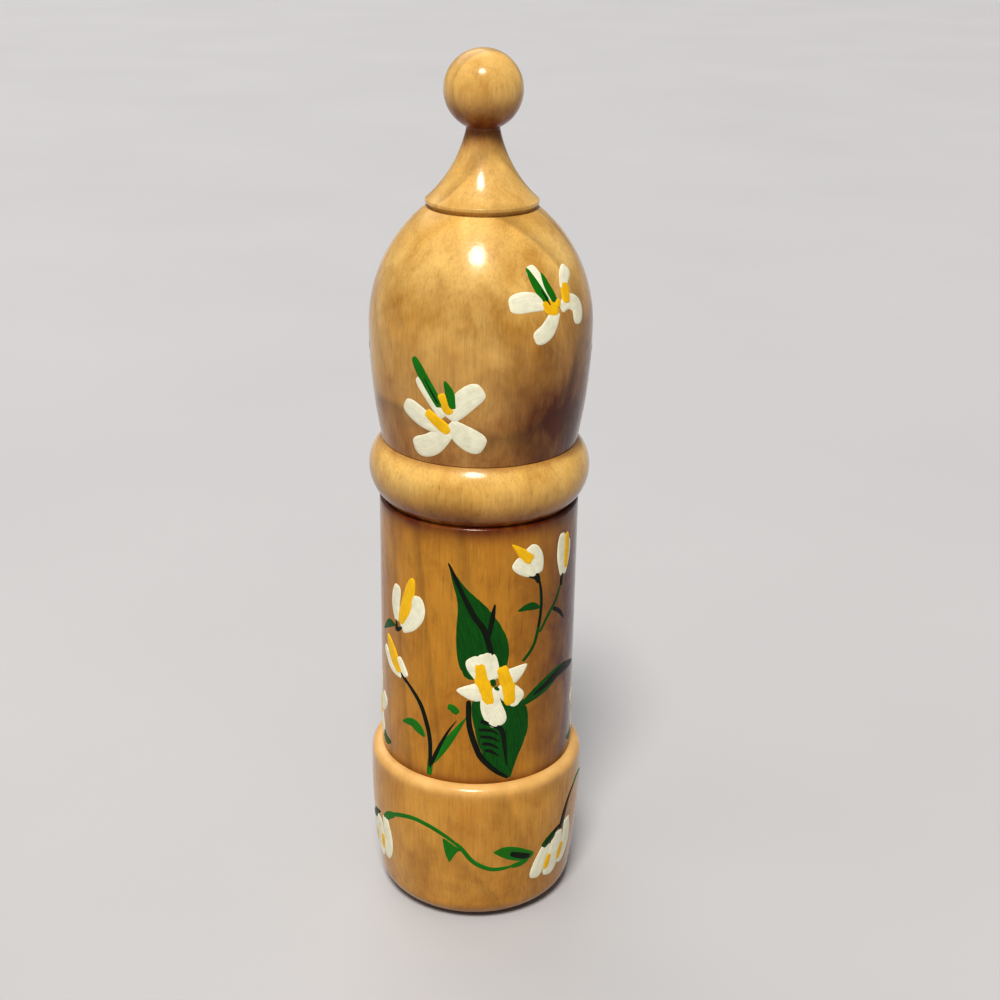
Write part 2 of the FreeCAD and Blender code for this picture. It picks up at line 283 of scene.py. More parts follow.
def wood(name, look):
    """Turned fine-grained wood under a clear coat of lacquer, left bare inside look.bare."""
    tree = Tree(name)
    fibre = tree.noise(tree.place((4.0, 4.0, 0.22), look.shift), 1.0, 5.0, 0.65)
    smear = tree.noise(tree.place((1, 1, 1), look.shift), 0.5, 5.0, 0.6, 0.8)
    tone = wood_tone(tree, look, fibre)
    radius, below = look.bare
    inside = tree.math("MULTIPLY", tree.less(tree.radius(), radius), tree.less(tree.height(), below))
    tone = tree.mix("MIX", tree.math("MULTIPLY", inside, 0.4), tone, BARE)
    tree.feed(tree.shader.inputs["Base Color"], tone)
    rough = tree.ramp(smear, (0.3, 0.34), (0.7, 0.50))
    tree.feed(tree.shader.inputs["Roughness"], tree.mix("MIX", inside, rough, (0.75, 0.75, 0.75)))
    tree.shader.inputs["Specular IOR Level"].default_value = 0.1
    tree.feed(tree.shader.inputs["Coat Weight"], tree.math("SUBTRACT", 1.0, inside))
    tree.feed(tree.shader.inputs["Coat Roughness"], tree.ramp(smear, (0.3, 0.12), (0.7, 0.20)))
    tree.shader.inputs["Coat IOR"].default_value = 1.30
    uneven = tree.noise(tree.place(), 0.9, 3.0, 0.55)
    skin = tree.bump(uneven, 0.35, 0.00006)
    skin = tree.bump(fibre, 0.2, 0.00004, skin)
    tree.links.new(skin, tree.shader.inputs["Normal"])
    tree.links.new(tree.bump(uneven, 0.35, 0.00006), tree.shader.inputs["Coat Normal"])
    return tree.material


def paint(name, colour, thin, streak):
    """Glossy brushed enamel: streaks and ridges run along each stroke."""
    tree = Tree(name)
    along = tree.attribute("stroke")
    bristle = tree.noise(tree.scaled(along, (0.45, 5.5, 1.0)), 1.0, 3.0, 0.6)
    blot = tree.noise(tree.scaled(along, (0.9, 0.9, 1.0)), 1.0, 3.0, 0.6)
    tone = tree.mix("MIX", tree.ramp(bristle, (0.40, 0.0), (0.75, streak)), colour, thin)
    tone = tree.mix("MULTIPLY", 0.7, tone, tree.ramp(blot, (0.3, 1.08), (0.7, 0.84)))
    tree.feed(tree.shader.inputs["Base Color"], tone)
    tree.feed(tree.shader.inputs["Roughness"], tree.ramp(blot, (0.3, 0.34), (0.7, 0.5)))
    tree.shader.inputs["Specular IOR Level"].default_value = 0.12
    tree.shader.inputs["Coat Weight"].default_value = 0.14
    tree.shader.inputs["Coat Roughness"].default_value = 0.16
    tree.links.new(tree.bump(bristle, 0.5, 0.00006), tree.shader.inputs["Normal"])
    return tree.material


def steel(name):
    """Drawn, polished and nickelled needle steel, faintly scratched and yellowed along its length."""
    tree = Tree(name)
    drawn = tree.noise(tree.place((9.0, 9.0, 0.5)), 1.0, 4.0, 0.6)
    stain = tree.noise(tree.place(), 0.25, 3.0, 0.6)
    tone = tree.ramp(
        stain, (0.35, (0.62, 0.62, 0.64)), (0.62, (0.52, 0.51, 0.50)), (0.8, (0.40, 0.36, 0.31)))
    tone = tree.mix("MULTIPLY", 0.35, tone, tree.ramp(drawn, (0.3, 1.0), (0.75, 0.7)))
    tree.feed(tree.shader.inputs["Base Color"], tone)
    tree.shader.inputs["Metallic"].default_value = 1.0
    tree.feed(tree.shader.inputs["Roughness"], tree.ramp(drawn, (0.3, 0.22), (0.75, 0.40)))
    tree.links.new(tree.bump(drawn, 0.2, 0.00001), tree.shader.inputs["Normal"])
    return tree.material


def backdrop_material():
    tree = Tree("studio_floor")
    cloud = tree.noise(tree.place(), 0.01, 3.0, 0.5)
    tone = tree.ramp(cloud, (0.3, (0.46, 0.455, 0.46)), (0.7, (0.48, 0.475, 0.48)))
    tree.feed(tree.shader.inputs["Base Color"], tone)
    tree.shader.inputs["Roughness"].default_value = 0.6
    return tree.material


# ---------------------------------------------------------------- painted strokes

class Skin:
    """The outside of a turned CAD node: its radius at every height, in millimetres."""

    STEP = 0.2

    def __init__(self, node):
        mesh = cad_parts[node].data
        corners = [v.co / MM for v in mesh.vertices]
        tree = BVHTree.FromPolygons(corners, [tuple(p.vertices) for p in mesh.polygons])
        low, high = (corner.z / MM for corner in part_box(node))
        self.heights = np.arange(low + self.STEP / 2, high - self.STEP / 4, self.STEP)
        outside = max(v.x for v in corners) * 2
        radii = []
        for height in self.heights:
            hit = tree.ray_cast(Vector((outside, 0.01, height)), Vector((-1, 0, 0)))[0]
            radii.append(hit.x)
        self.radii = np.array(radii)
        self.slopes = np.gradient(self.radii, self.heights)

    def radius(self, height):
        return float(np.interp(height, self.heights, self.radii))

    def slope(self, height):
        return float(np.interp(height, self.heights, self.slopes))

    def point(self, around, height, lift):
        """A point lifted off the skin. around is in radians from the front, to the right."""
        radius = self.radius(height)
        slope = self.slope(height)
        steep = math.hypot(1.0, slope)
        out = radius + lift / steep
        up = height - lift * slope / steep
        return Vector((out * math.sin(around), -out * math.cos(around), up)) * MM

    def step(self, around, height, across, along):
        """Move over the skin by millimetres to the right and up."""
        steep = math.hypot(1.0, self.slope(height))
        return around + across / self.radius(height), height + along / steep


def smooth_path(skin, points, count):
    """Points of a smooth line through (degrees, height) points, evenly spread by length."""
    path = [(math.radians(a), z) for a, z in points]
    ends = [tuple(2 * p - q for p, q in zip(path[0], path[1]))]
    ends.append(tuple(2 * p - q for p, q in zip(path[-1], path[-2])))
    knots = np.array([ends[0], *path, ends[1]])
    fine = []
    for i in range(1, len(knots) - 2):
        before, here, there, after = knots[i - 1:i + 3]
        for t in np.linspace(0.0, 1.0, 16, endpoint=False):
            bend = -before + 3 * here - 3 * there + after
            lean = 2 * before - 5 * here + 4 * there - after
            fine.append(here + 0.5 * t * ((there - before) + t * (lean + t * bend)))
    fine.append(knots[-2])
    fine = np.array(fine)
    radii = np.array([skin.radius(z) for z in fine[:, 1]])
    steep = np.array([math.hypot(1.0, skin.slope(z)) for z in fine[:, 1]])
    steps = np.hypot(np.diff(fine[:, 0]) * radii[1:], np.diff(fine[:, 1]) * steep[1:])
    reach = np.concatenate([[0.0], np.cumsum(steps)])
    spots = np.linspace(0.0, reach[-1], count)
    around = np.interp(spots, reach, fine[:, 0])
    height = np.interp(spots, reach, fine[:, 1])
    return around, height, reach[-1]


# Stroke outlines: the width at the root as a share of the whole, how far along the widest place
# is, and how blunt the far end is.
PETAL = (0.58, 0.64, 2.6)
POINTED = (0.85, 0.35, 1.15)
DAB = (0.70, 0.5, 3.0)
LEAF = (0.15, 0.42, 1.25)
SPIKE = (0.75, 0.25, 1.0)
LINE = (0.8, 0.35, 1.6)
STEM = (0.9, 0.5, 3.0)
VEIN = (0.22, 0.6, 2.2)


ROUNDED_START = 0.05
THINNEST = 0.015


def swell(t, outline):
    """The width of a stroke, from 0 to 1, at t from its root to its far end."""
    root, belly, blunt = outline
    if t < belly:
        width = root + (1 - root) * math.sin(t / belly * math.pi / 2)
    else:
        width = (1 - ((t - belly) / (1 - belly)) ** blunt) ** (1 / max(blunt, 1.4))
    if t < ROUNDED_START:
        width *= math.sqrt(1 - (1 - t / ROUNDED_START) ** 2)
    return max(width, THINNEST)


# The mesh of a stroke, and how far its edges sink into the wood, its bristle ridges rise and each
# stroke stands off the last, in millimetres. The edges wobble by a share of the width.
ROWS = 30
COLUMNS = 12
SINK = 0.05
RIDGE = 0.006
LAYER_STEP = 0.004
LAYER_LIMIT = 0.02
WOBBLE = 0.07


class Painting:
    """The strokes of one paint on one body, gathered into one mesh."""

    def __init__(self, name, skin, body, material, slot, seed):
        self.name = name
        self.skin = skin
        self.body = body
        self.material = material
        self.slot = slot
        self.random = random.Random(seed)
        self.vertices = []
        self.faces = []
        self.stroke_marks = []
        self.layer = 0.0

    def stroke(self, points, width, outline, lift):
        """One brush stroke along (degrees, height) points; width and lift are in millimetres."""
        skin = self.skin
        around, height, length = smooth_path(skin, points, ROWS + 1)
        uneven = [self.random.uniform(-1, 1) for _ in range(3)]
        rows = []
        for i in range(ROWS + 1):
            t = i / ROWS
            here = max(i - 1, 0)
            there = min(i + 1, ROWS)
            across = (around[there] - around[here]) * skin.radius(height[i])
            along = (height[there] - height[here]) * math.hypot(1.0, skin.slope(height[i]))
            far = math.hypot(across, along)
            half = width / 2 * swell(t, outline)
            row = []
            for j in range(COLUMNS + 1):
                s = 2 * j / COLUMNS - 1
                edge = uneven[0 if s < 0 else 1] * math.sin(5 * t + uneven[2] * 3)
                reach = half * s * (1 + WOBBLE * edge)
                place = skin.step(around[i], height[i], along / far * reach, -across / far * reach)
                row.append((*place, t * length, reach))
            rows.append(row)
        self.lay(rows, lift)

    def patch(self, left, right, lift):
        """A broad leaf between two edges that start at its tip, each given by (degrees, height) points."""
        skin = self.skin
        left_around, left_height, length = smooth_path(skin, left, ROWS + 1)
        right_around, right_height, _ = smooth_path(skin, right, ROWS + 1)
        rows = []
        for i in range(ROWS + 1):
            row = []
            for j in range(COLUMNS + 1):
                s = j / COLUMNS
                around = left_around[i] * (1 - s) + right_around[i] * s
                height = left_height[i] * (1 - s) + right_height[i] * s
                reach = (right_around[i] - left_around[i]) * skin.radius(height) * (s - 0.5)
                row.append((around, height, i / ROWS * length, reach))
            rows.append(row)
        self.lay(rows, lift)

    def lay(self, rows, lift):
        """Turn rows of (around, height, along, across) into a thin closed body of paint."""
        self.layer = (self.layer + LAYER_STEP) % LAYER_LIMIT
        lift = lift + self.layer
        mark = self.random.uniform(0, 100)
        wave = self.random.uniform(-4, 4)
        first = len(self.vertices)
        for i, row in enumerate(rows):
            t = i / ROWS
            for j, (around, height, along, across) in enumerate(row):
                s = 2 * j / COLUMNS - 1
                crown = (1 - abs(s) ** 5) * (1 - abs(2 * t - 1) ** 14)
                ridge = RIDGE * math.sin(9 * s + wave) * crown
                rise = (lift + SINK) * crown - SINK + ridge
                self.vertices.append(self.skin.point(around, height, rise))
                self.stroke_marks.append((along, across, mark))
        width = COLUMNS + 1
        for i in range(ROWS):
            row = first + i * width
            for j in range(COLUMNS):
                a = row + j
                self.faces.append((a, a + 1, a + width + 1, a + width))
            self.faces.append((row, row + width, row + width + COLUMNS, row + COLUMNS))
        last = first + ROWS * width
        self.faces.append(tuple(range(first + COLUMNS, first - 1, -1)))
        self.faces.append(tuple(range(last, last + COLUMNS + 1)))

    def make(self):
        mesh = bpy.data.meshes.new(self.name)
        mesh.from_pydata(self.vertices, [], self.faces)
        marks = mesh.attributes.new("stroke", "FLOAT_VECTOR", "POINT")
        marks.data.foreach_set("vector", np.array(self.stroke_marks, float).ravel())
        mesh.validate()
        mesh.update()
        mesh.shade_smooth()
        mesh.materials.append(self.material)
        piece = bpy.data.objects.new(self.name, mesh)
        bpy.context.scene.collection.objects.link(piece)
        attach(piece, self.body)
        return piece


# How far each kind of stroke stands off the wood, in millimetres.
LEAF_LIFT = 0.03
VEIN_LIFT = 0.05
PETAL_LIFT = 0.07
YELLOW_LIFT = 0.10


class Decoration:
    """All the paint on one turned piece: a painting for each colour, made when it is first used."""

    def __init__(self, place, node, body):
        self.place = place
        self.skin = Skin(node)
        self.body = body
        self.paintings = {}

    def coat(self, colour):
        if colour not in self.paintings:
            material, slot = PAINTS[colour]
            name = self.place + "_" + colour
            self.paintings[colour] = Painting(name, self.skin, self.body, material, slot, name)
        return self.paintings[colour]

    def white(self, points, width, outline=PETAL, lift=PETAL_LIFT):
        self.coat("white").stroke(points, width, outline, lift)

    def yellow(self, points, width, outline=DAB):
        self.coat("yellow").stroke(points, width, outline, YELLOW_LIFT)

    def green(self, points, width, outline=LEAF, lift=LEAF_LIFT):
        self.coat("green").stroke(points, width, outline, lift)

    def moss(self, points, width, outline=LEAF, lift=LEAF_LIFT):
        self.coat("moss").stroke(points, width, outline, lift)

    def leaf(self, left, right, colour="green"):
        self.coat(colour).patch(left, right, LEAF_LIFT)

    def dark(self, points, width, outline=LINE, lift=VEIN_LIFT):
        self.coat("dark").stroke(points, width, outline, lift)

    def make(self):
        for painting in self.paintings.values():
            painting.make()


def turned(angle, mirror=False):
    """A function that turns a motif's points round the axis, and flips them first for a mirrored one."""
    sign = -1 if mirror else 1
    return lambda *points: [(angle + sign * around, height) for around, height in points]


# ---------------------------------------------------------------- cap motifs

def cap_side_flower(art, at):
    """The five-petalled flower high on the dome."""
    art.white(at((-3, 82.9), (-14, 83.4), (-24.6, 83.1)), 2.7)
    art.white(at((3.4, 82), (-4, 79.9), (-12, 79.1)), 2.4)
    art.white(at((0.9, 82.6), (-4.6, 85), (-9.4, 87.2)), 1.9)
    art.white(at((10.4, 84), (15, 85.4), (20.6, 86.3)), 2.0)
    art.white(at((5.5, 82), (13, 82.6), (19.6, 81.7), (18.6, 79.6)), 2.4)
    art.moss(at((-1.2, 82.7), (-6.4, 84.7), (-11.6, 87)), 1.3, LINE, YELLOW_LIFT)
    art.moss(at((2.8, 82.9), (-0.4, 84.6), (-2.4, 86.3)), 1.3, LINE, YELLOW_LIFT)
    art.dark(at((-0.6, 82.6), (-5.4, 84.6)), 0.3, LINE, YELLOW_LIFT + 0.03)
    art.yellow(at((-4.6, 83.4), (0.2, 82.3), (4.6, 82)), 1.9)
    art.yellow(at((13, 84.9), (10.8, 82.4)), 1.7)
    art.yellow(at((5.6, 83.2), (4, 82.3)), 0.9)


def cap_front_flower(art, at):
    """The wide open flower low on the dome."""
    art.white(at((0.4, 69.6), (10, 72.2), (18.7, 73.6)), 3.2)
    art.white(at((0.6, 69.1), (11, 67.2), (20, 66.2)), 3.3)
    art.white(at((1.4, 68.2), (-10.4, 66), (-22, 65.3)), 3.2)
    art.white(at((-2.6, 68.2), (-14, 69.3), (-25.4, 70.8)), 2.8)
    art.white(at((-1.9, 69.6), (-9, 72.2), (-16, 74.4)), 1.7)
    art.moss(at((-2.8, 70.8), (-10, 73.6), (-18, 76.8)), 1.35, STEM, YELLOW_LIFT)
    art.moss(at((3.2, 70.8), (1.8, 72.8), (-1, 74.4)), 1.3, LINE, YELLOW_LIFT)
    art.dark(at((-4, 71.3), (-12, 74.6)), 0.3, LINE, YELLOW_LIFT + 0.03)
    art.yellow(at((-11.8, 70.3), (-5, 69), (1.4, 67.8)), 1.7)
    art.yellow(at((-3.6, 72.7), (-0.5, 71.4), (2.6, 70.2)), 1.6)


def cap_sprig(art, at):
    """A small leafy sprig that fills the far side of the dome."""
    art.dark(at((-16, 71), (-4, 74), (6, 78), (12, 82)), 0.45, STEM)
    for spot, height, lean in ((-9, 73, -9), (0, 76, 10), (4, 79, -8), (11, 82, 6)):
        art.green(at((spot, height), (spot + lean, height + 2.6)), 1.6)
    art.white(at((13, 83), (16, 84.6), (18, 86.5)), 1.8)
    art.white(at((13, 83), (10, 84.4), (7, 86.2)), 1.7)
    art.yellow(at((13, 82.4), (13, 84.2)), 1.1)


def paint_cap():
    art = Decoration("cap", "cap_dome", "cap")
    cap_side_flower(art, turned(38.5))
    cap_front_flower(art, turned(-16.9))
    cap_sprig(art, turned(104))
    cap_front_flower(art, turned(158, mirror=True))
    cap_side_flower(art, turned(210))
    cap_sprig(art, turned(256, mirror=True))
    art.make()


# ---------------------------------------------------------------- case motifs

def big_leaf(art, at):
    """The broad pointed leaf above the main flower."""
    art.leaf(
        at((-17, 51.2), (-14.6, 48.6), (-12.4, 45.6), (-14.5, 41.6), (-13.9, 38.3), (-8.5, 35)),
        at((-17, 51.2), (-6.6, 48.2), (7.4, 45.4), (17.3, 42.3), (21, 39.3), (17, 35.6)),
    )
    art.dark(at((-17.4, 51.5), (-8.4, 47.2), (-1.8, 44.3), (3.8, 42.3), (7.7, 39.3), (9, 36.8)), 1.1, VEIN)
    art.dark(at((9.8, 46), (7.9, 43.6), (6, 41)), 0.85, VEIN)


def lower_leaf(art, at):
    """The broad leaf under the main flower, with its dark edge and hatching."""
    art.leaf(
        at((20.4, 21), (9, 22.7), (3, 24.3), (-3.4, 28.1), (-5, 32.5), (6, 35)),
        at((20.4, 21), (25.1, 23.6), (32.5, 26.8), (34.3, 28.9), (32, 31.6), (20, 34.6)),
    )
    art.dark(
        at((-4.6, 33), (-4.4, 29.8), (-3, 28), (0.4, 25.7), (3.3, 24.4), (11, 22.6), (20.2, 21.1)),
        0.85, STEM)
    art.dark(at((1, 29.9), (7.5, 29.4), (14.4, 28.4), (16.6, 26), (18.4, 22.6)), 0.9)
    for start, height in ((0.8, 28.4), (1.8, 27.4), (3, 26.4), (4.6, 25.4)):
        art.dark(at((start, height + 0.2), (8.4, height), (14, height - 0.8)), 0.62)


def main_flower(art, at):
    """The five-petalled flower in the middle of the tube. Its top petal is two strokes."""
    art.white(at((9, 35.4), (6, 37.6), (3.4, 39.4)), 3.3)
    art.white(at((4, 35.2), (-0.5, 37.4), (-4, 38.8)), 2.6)
    art.white(at((6, 33.9), (-3, 33.9), (-12, 34)), 2.9, POINTED)
    art.white(at((8, 34.6), (8.6, 31.6), (13.6, 28.8)), 3.4)
    art.white(at((12, 34.6), (19, 33.3), (26.2, 31.9)), 3.2)
    art.white(at((13, 35.5), (20.5, 35.8), (30, 37.1)), 2.7, POINTED)
    art.yellow(at((1.2, 38.2), (3.2, 35.2), (9, 31.8)), 2.2)
    art.yellow(at((13.4, 37.4), (17.4, 34.9), (20, 31.6)), 2.15)
    art.green(at((8.6, 35.7), (9.6, 34.7)), 0.8, DAB, YELLOW_LIFT)
    art.green(at((10, 34.5), (12.8, 34.1)), 0.5, DAB, YELLOW_LIFT)


def right_buds(art, at):
    """Two buds on bending stems to the right of the main flower."""
    art.green(
        at((25.7, 37.3), (33.3, 39.2), (37, 41.6), (38.6, 44.3), (38.3, 46.4), (36.6, 48.3)),
        0.6, STEM)
    art.dark(at((36.6, 41.4), (38.7, 44.3), (38.4, 46.4), (36.5, 48.5)), 0.45, STEM)
    art.green(at((37.6, 40.8), (44.2, 42.9), (50.6, 44.5), (55.8, 46.6)), 0.55, STEM)
    art.dark(at((48, 43.6), (55, 42.6), (60, 41.2)), 0.7)
    art.green(at((38, 44.4), (30.5, 44.9), (22.6, 44.6)), 1.25)
    art.white(at((35, 49.2), (27, 50.2), (20.2, 51.3)), 2.3)
    art.white(at((36.5, 49), (34, 51.2), (28.4, 52.9)), 2.5)
    art.yellow(at((32, 50.9), (25, 52.3), (18.8, 53.6)), 1.9, SPIKE)
    art.dark(at((36.6, 47.8), (35.6, 48.8), (32.6, 50)), 0.7, SPIKE)
    art.dark(at((37, 47.8), (34, 48.6), (29, 49)), 0.7, SPIKE)
    art.white(at((57, 47.4), (54.6, 50.2), (55.6, 53.3)), 1.9)
    art.white(at((58, 47.4), (61, 49.4), (63, 52)), 1.9)
    art.yellow(at((60, 48), (60.6, 50.4), (60.4, 53)), 1.5)
    art.dark(at((55.8, 46), (56, 47), (57, 48.2)), 0.7)


def left_buds(art, at):
    """Two buds on the stem that climbs the left side of the tube."""
    art.dark(at((-28, 21.6), (-28, 26.1), (-31, 29), (-35, 31.1), (-42, 32.8), (-50, 34.1)), 0.7, STEM)
    art.moss(at((-28.6, 21), (-27.6, 23.6)), 1.0, DAB)
    art.dark(at((-28, 22.3), (-21.6, 25.7), (-16.5, 28), (-11, 29.9)), 0.65, SPIKE, VEIN_LIFT + 0.03)
    art.moss(at((-26, 22.8), (-19.5, 25.5), (-12.5, 28), (-5.5, 30.4)), 1.3)
    art.moss(at((-17, 31.6), (-14, 31.4), (-10.6, 30.7)), 1.15, DAB)
    art.moss(at((-31, 26.4), (-40, 27.8), (-49.6, 27.3)), 1.7)
    art.green(at((-55, 40.4), (-63, 40), (-72, 38.4)), 1.3)
    art.white(at((-53.6, 41), (-55, 43.5), (-52.4, 46.3)), 2.0)
    art.white(at((-50, 40.4), (-41, 41.9), (-36.4, 43.8), (-38, 45.9)), 2.6)
    art.yellow(at((-50.4, 40.8), (-45.8, 43.6), (-39.3, 48.1)), 2.2, (0.6, 0.4, 2.0))
    art.dark(at((-54.6, 39.6), (-54.2, 40.6), (-54.8, 41.8)), 0.7, SPIKE)
    art.dark(at((-55, 39.8), (-51.6, 40.2), (-47, 40.9)), 0.7, SPIKE)
    art.white(at((-49.4, 33.7), (-60, 34.3), (-70, 36.4)), 1.7)
    art.white(at((-45, 33.9), (-49, 35), (-53, 36.2)), 1.6)
    art.yellow(at((-50.2, 33.9), (-57.6, 35.8), (-65.4, 38.4)), 2.4, (0.6, 0.5, 1.6))
    art.dark(at((-44.6, 33.2), (-47.6, 33.7), (-50.6, 34.2)), 0.7)


def blade(art, at):
    """The long thin leaf that reaches round the right side."""
    art.green(at((24, 31.2), (36, 32.5), (46, 33.4), (58, 34.2), (76, 33.2)), 2.3, LEAF)
    art.dark(at((32, 32.2), (44, 33.2), (58, 34.1), (80, 33.4)), 1.6, (0.2, 0.6, 1.4))


def edge_flower(art, at):
    """The low flower between the front and the back of the tube."""
    art.green(at((-12, 24), (-18, 22.6), (-27, 22.4)), 1.8)
    art.green(at((6, 23.4), (13, 22.4), (22, 22.8)), 1.8)
    art.white(at((-2, 26), (-9, 27.6), (-15, 27.4)), 2.4)
    art.white(at((0, 26.4), (-1, 29.4), (-3, 31)), 2.3)
    art.white(at((2, 26), (9, 27.4), (14, 29)), 2.4)
    art.white(at((1, 25.6), (5, 23.8), (6, 22.2)), 2.2)
    art.white(at((-1, 25.6), (-7, 24), (-10, 22.6)), 2.2)
    art.yellow(at((-5, 27), (0, 25.9), (4, 24.8)), 1.3)
    art.yellow(at((0, 27.6), (3.4, 26.4)), 1.2)


def paint_tube():
    art = Decoration("tube", "case_tube", "case")
    for at in (turned(0), turned(176, mirror=True)):
        big_leaf(art, at)
        lower_leaf(art, at)
        main_flower(art, at)
        right_buds(art, at)
        left_buds(art, at)
    blade(art, turned(0))
    edge_flower(art, turned(-84))
    edge_flower(art, turned(92, mirror=True))
    art.make()


def vine_leaflet(art, at):
    """The small pointed leaf under the middle of a stem."""
    art.leaf(
        at((-14.1, 9.3), (-17, 11.1), (-19, 13.6)),
        at((-14.1, 9.3), (-9, 11), (-4.6, 11.2)), "moss")


def base_vine(art, at):
    """The long curved stem low on the base, with two leaves."""
    art.moss(at((-62.6, 10.8), (-57, 12.7), (-49, 13.9)), 1.3, DAB)
    art.moss(
        at((-60, 11.6), (-50.5, 13.7), (-36.7, 14.8), (-25.6, 14.5), (-15.6, 13.4), (-7.6, 11.9)),
        0.75, STEM)
    art.moss(at((-12, 12.8), (-7.6, 11.9), (-1.3, 9.9), (6.7, 8.7), (13.3, 8.4), (22, 8.6)), 0.75, STEM)
    art.moss(at((20, 8.5), (26, 8.7), (31, 9.3)), 1.0, DAB)
    vine_leaflet(art, at)
    art.leaf(
        at((9.2, 11.2), (16.1, 12), (25, 11.5), (35.5, 9.8)),
        at((9.2, 11.2), (16.3, 9.8), (24, 9), (33, 8.9)), "moss")
    art.dark(at((18.6, 10.7), (25, 10), (32, 9.4)), 1.3, DAB)


def base_tall_vine(art, at):
    """The same stem with a steeper start, painted blackish where it leaves the flower: painted shade on a
    green stem.
    """
    # The blackish start of the stem is painted shade on a green stem.
    art.dark(at((-66, 11), (-63.6, 13), (-59, 15.2), (-52, 16.8)), 1.2, SPIKE)
    art.moss(at((-58, 15.6), (-48, 17), (-36, 16.4), (-24, 14.6), (-12, 12.4), (-2, 10.2)), 0.75, STEM)
    art.moss(at((-4, 10.6), (4, 9), (13, 8.4), (22, 8.6), (31, 9.3)), 0.8, STEM)
    vine_leaflet(art, at)
    art.leaf(
        at((8, 12.6), (15, 13.4), (24, 12.4), (34, 9.8)),
        at((8, 12.6), (15, 11), (24, 9.8), (32, 9)), "moss")


def base_flower(art, at):
    """The three-petalled bell low on the base."""
    art.dark(at((-10.6, 10.2), (-5, 11.2), (3.6, 12.2)), 0.9, LINE, PETAL_LIFT + 0.02)
    art.green(at((-11.4, 9.9), (-7, 10.7), (-2, 11.5)), 1.5, DAB, PETAL_LIFT + 0.02)
    art.white(at((-7.6, 10.4), (-12, 7.8), (-15.4, 5.2)), 2.7)
    art.white(at((9, 12.4), (10.8, 8.6), (5, 5.4)), 2.7)
    art.white(at((1, 11.4), (-0.6, 7.8), (-5, 4.6)), 3.4)
    art.yellow(at((5.6, 9), (2.6, 6.4)), 1.6)
    art.yellow(at((-5.4, 8.4), (-7.6, 6)), 1.3)


def paint_base():
    art = Decoration("base", "base_cup", "case")
    base_vine(art, turned(0))
    base_tall_vine(art, turned(120))
    base_tall_vine(art, turned(240))
    for turn in (51.3, 171.3, 291.3):
        base_flower(art, turned(turn))
    art.make()


# ---------------------------------------------------------------- materials on the parts

def surface_of(node, material):
    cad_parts[node].data.materials[0] = material


PAINTS = {
    "white": (paint("cream_white_enamel", (0.82, 0.80, 0.62), (0.62, 0.53, 0.30), 0.4), "white_paint"),
    "yellow": (paint("golden_yellow_enamel", (0.84, 0.50, 0.008), (0.76, 0.34, 0.005), 0.6), "yellow_paint"),
    "green": (paint("leaf_green_enamel", (0.001, 0.085, 0.003), (0.0005, 0.03, 0.001), 0.8), "green_paint"),
    "moss": (paint("bright_green_enamel", (0.004, 0.17, 0.006), (0.03, 0.09, 0.002), 0.8), "green_paint"),
    "dark": (paint("blackish_green_enamel", (0.002, 0.005, 0.001), (0.006, 0.02, 0.002), 0.6), "dark_paint"),
}

RIM = RIM_TOP / MM
SEAM_LINE = SEAM / MM
CREASE_LINE = CREASE / MM
CROWN_LINE = CROWN / MM
TUBE_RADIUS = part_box("case_tube")[1].x / MM
NECK_LINE = TOP / MM - 8.3
HOLLOW_TOP = CROWN_LINE - 7.3

LOOKS = {
    # The foot darkens at its bottom edge with painted shade; the rim lip is paler with wear and painted
    # light.
    "base_cup": Look(
        (0.56, 0.29, 0.055), (0.37, 0.155, 0.015), (3, 7, 0), (0.5, 0.2, 0),
        stains_and_shade=((0, 1.2, 0.9),), worn_and_lit=((RIM, 1.1, 0.65),), bare=(12.0, 100),
        figure=0.6, flecks=0.3),
    # The tube darkens at its foot with dirt and painted shade in the crease, and under the bead with dirt
    # and the bead's painted shadow; a patch of painted shade darkens its right-hand side.
    "case_tube": Look(
        (0.50, 0.235, 0.024), (0.32, 0.12, 0.006), (13, -6, 5), (0.3, -0.2, 0),
        stains_and_shade=((RIM, 0.8, 0.6), (SEAM_LINE, 1.5, 1.0)), shade_patches=((74, 13, 38, 9, 30, 1.0),),
        bare=(TUBE_RADIUS - 0.5, 1000), flecks=0.35),
    # The ring darkens over its underside with dirt at the seam and painted shade and painted reflection, and
    # at the crease with dirt and painted shade.
    "cap_ring": Look(
        (0.80, 0.52, 0.17), (0.54, 0.28, 0.045), (-9, 4, 1), (0.2, 0.4, 0),
        stains_and_shade=((SEAM_LINE, 2.8, 1.0), (CREASE_LINE, 0.5, 0.5)), bare=(TUBE_RADIUS - 1, 1000), flecks=0.55),
    # The dome darkens towards the bottom with painted shade and painted reflection, and has dark patches of
    # painted shade and painted reflection on its right-hand side.
    "cap_dome": Look(
        (0.82, 0.54, 0.18), (0.46, 0.21, 0.02), (6, 11, 3), (0.7, -0.5, 0), figure=1.35,
        stains_and_shade=((CREASE_LINE, 13.0, 0.68),), shade_patches=((58, 13, 69, 10, 12, 1.0), (24, 13, 71, 4, 8, 0.45)),
        bare=(TUBE_RADIUS - 1, HOLLOW_TOP), flecks=0.3),
    # The ball darkens over its lower part with dirt in the neck and painted shade and painted reflection;
    # the finial's foot has a faint line of dirt and painted shade.
    "finial": Look(
        (0.82, 0.54, 0.19), (0.52, 0.27, 0.05), (-4, -8, 2), (0.2, 0.3, 0),
        stains_and_shade=((NECK_LINE, 2.7, 1.0), (CROWN_LINE, 0.4, 0.3)), flecks=0.2),
}
for node, look in LOOKS.items():
    surface_of(node, wood(node + "_wood", look))

NEEDLE_STEEL = steel("nickelled_steel")
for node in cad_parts:
    if node.startswith("needle"):
        surface_of(node, NEEDLE_STEEL)

paint_cap()
paint_tube()
paint_base()


# ---------------------------------------------------------------- stage, light and camera

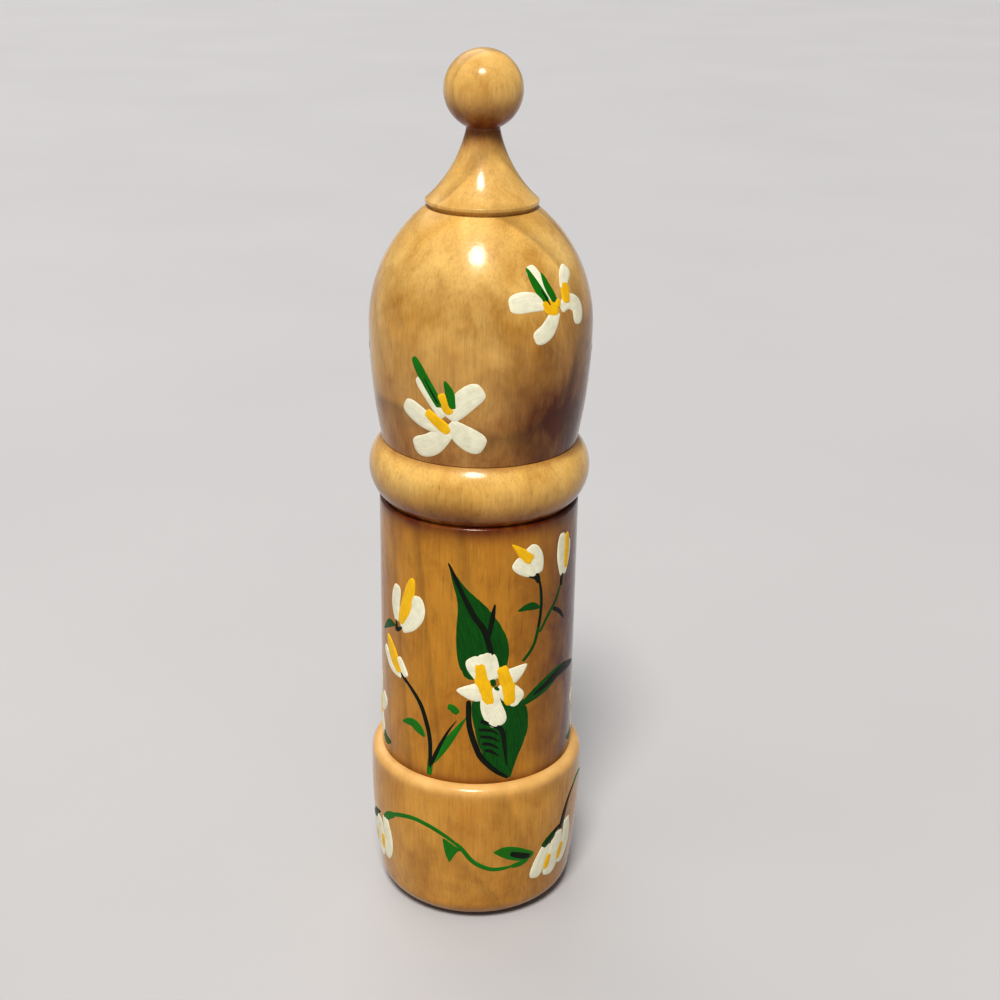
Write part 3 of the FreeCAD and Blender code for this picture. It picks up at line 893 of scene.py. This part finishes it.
def make_floor():
    """A broad pale slab just under the foot. Sizes are in metres."""
    half = 4.0
    bottom, top = -0.02, -0.0002
    corners = [(-half, -half), (half, -half), (half, half), (-half, half)]
    vertices = [(x, y, z) for z in (bottom, top) for x, y in corners]
    faces = [(3, 2, 1, 0), (4, 5, 6, 7)]
    faces += [(i, (i + 1) % 4, (i + 1) % 4 + 4, i + 4) for i in range(4)]
    mesh = bpy.data.meshes.new("floor")
    mesh.from_pydata(vertices, [], faces)
    mesh.materials.append(backdrop_material())
    floor = bpy.data.objects.new("floor", mesh)
    bpy.context.scene.collection.objects.link(floor)


def soft_sun(name, azimuth, elevation, spread, strength, colour):
    """Soft light from one side of the room. The azimuth is in degrees to the right of the front."""
    data = bpy.data.lights.new(name, "SUN")
    data.angle = math.radians(spread)
    data.energy = strength
    data.color = colour
    light = bpy.data.objects.new(name, data)
    bpy.context.scene.collection.objects.link(light)
    turn = math.radians(azimuth)
    rise = math.radians(elevation)
    away = Vector((math.sin(turn) * math.cos(rise), -math.cos(turn) * math.cos(rise), math.sin(rise)))
    light.rotation_euler = away.to_track_quat("Z", "Y").to_euler()


def make_world():
    """The dim even light of a pale room."""
    world = bpy.data.worlds.new("pale_room")
    world.use_nodes = True
    background = world.node_tree.nodes["Background"]
    background.inputs["Color"].default_value = (0.92, 0.93, 0.95, 1)
    background.inputs["Strength"].default_value = 0.25
    bpy.context.scene.world = world


CAMERA_PLACE = (0, -0.1903, 0.1311)
CAMERA_TILT, CAMERA_YAW, CAMERA_ROLL = 21.9, 0.8, 0.94
CAMERA_LENS = 58.44


def make_camera():
    """A camera in front of the case, a little above the top, looking down at the middle."""
    tilt, yaw, roll = (math.radians(a) for a in (CAMERA_TILT, CAMERA_YAW, CAMERA_ROLL))
    right = Vector((1, 0, 0))
    up = Vector((0, math.sin(tilt), math.cos(tilt)))
    back = Vector((0, -math.cos(tilt), math.sin(tilt)))
    camera_right = right * math.cos(roll) + up * math.sin(roll)
    camera_up = up * math.cos(roll) - right * math.sin(roll)
    turn = Matrix.Rotation(-yaw, 4, "Z")
    axes = Matrix((camera_right, camera_up, back)).transposed().to_4x4()
    data = bpy.data.cameras.new("photo_camera")
    data.lens = CAMERA_LENS
    data.sensor_width = 36
    data.clip_start = 0.01
    camera = bpy.data.objects.new("photo_camera", data)
    bpy.context.scene.collection.objects.link(camera)
    camera.matrix_world = Matrix.Translation(CAMERA_PLACE) @ turn @ axes
    bpy.context.scene.camera = camera


make_floor()
make_world()
soft_sun("key", -8, 58, 16, 2.9, (1.0, 0.97, 0.93))
soft_sun("fill", -58, 42, 60, 0.3, (0.97, 0.98, 1.0))
soft_sun("back", 205, 48, 50, 0.6, (1.0, 0.99, 0.97))
make_camera()
bpy.context.scene.view_settings.view_transform = "Standard"
bpy.context.scene.view_settings.look = "Medium High Contrast"
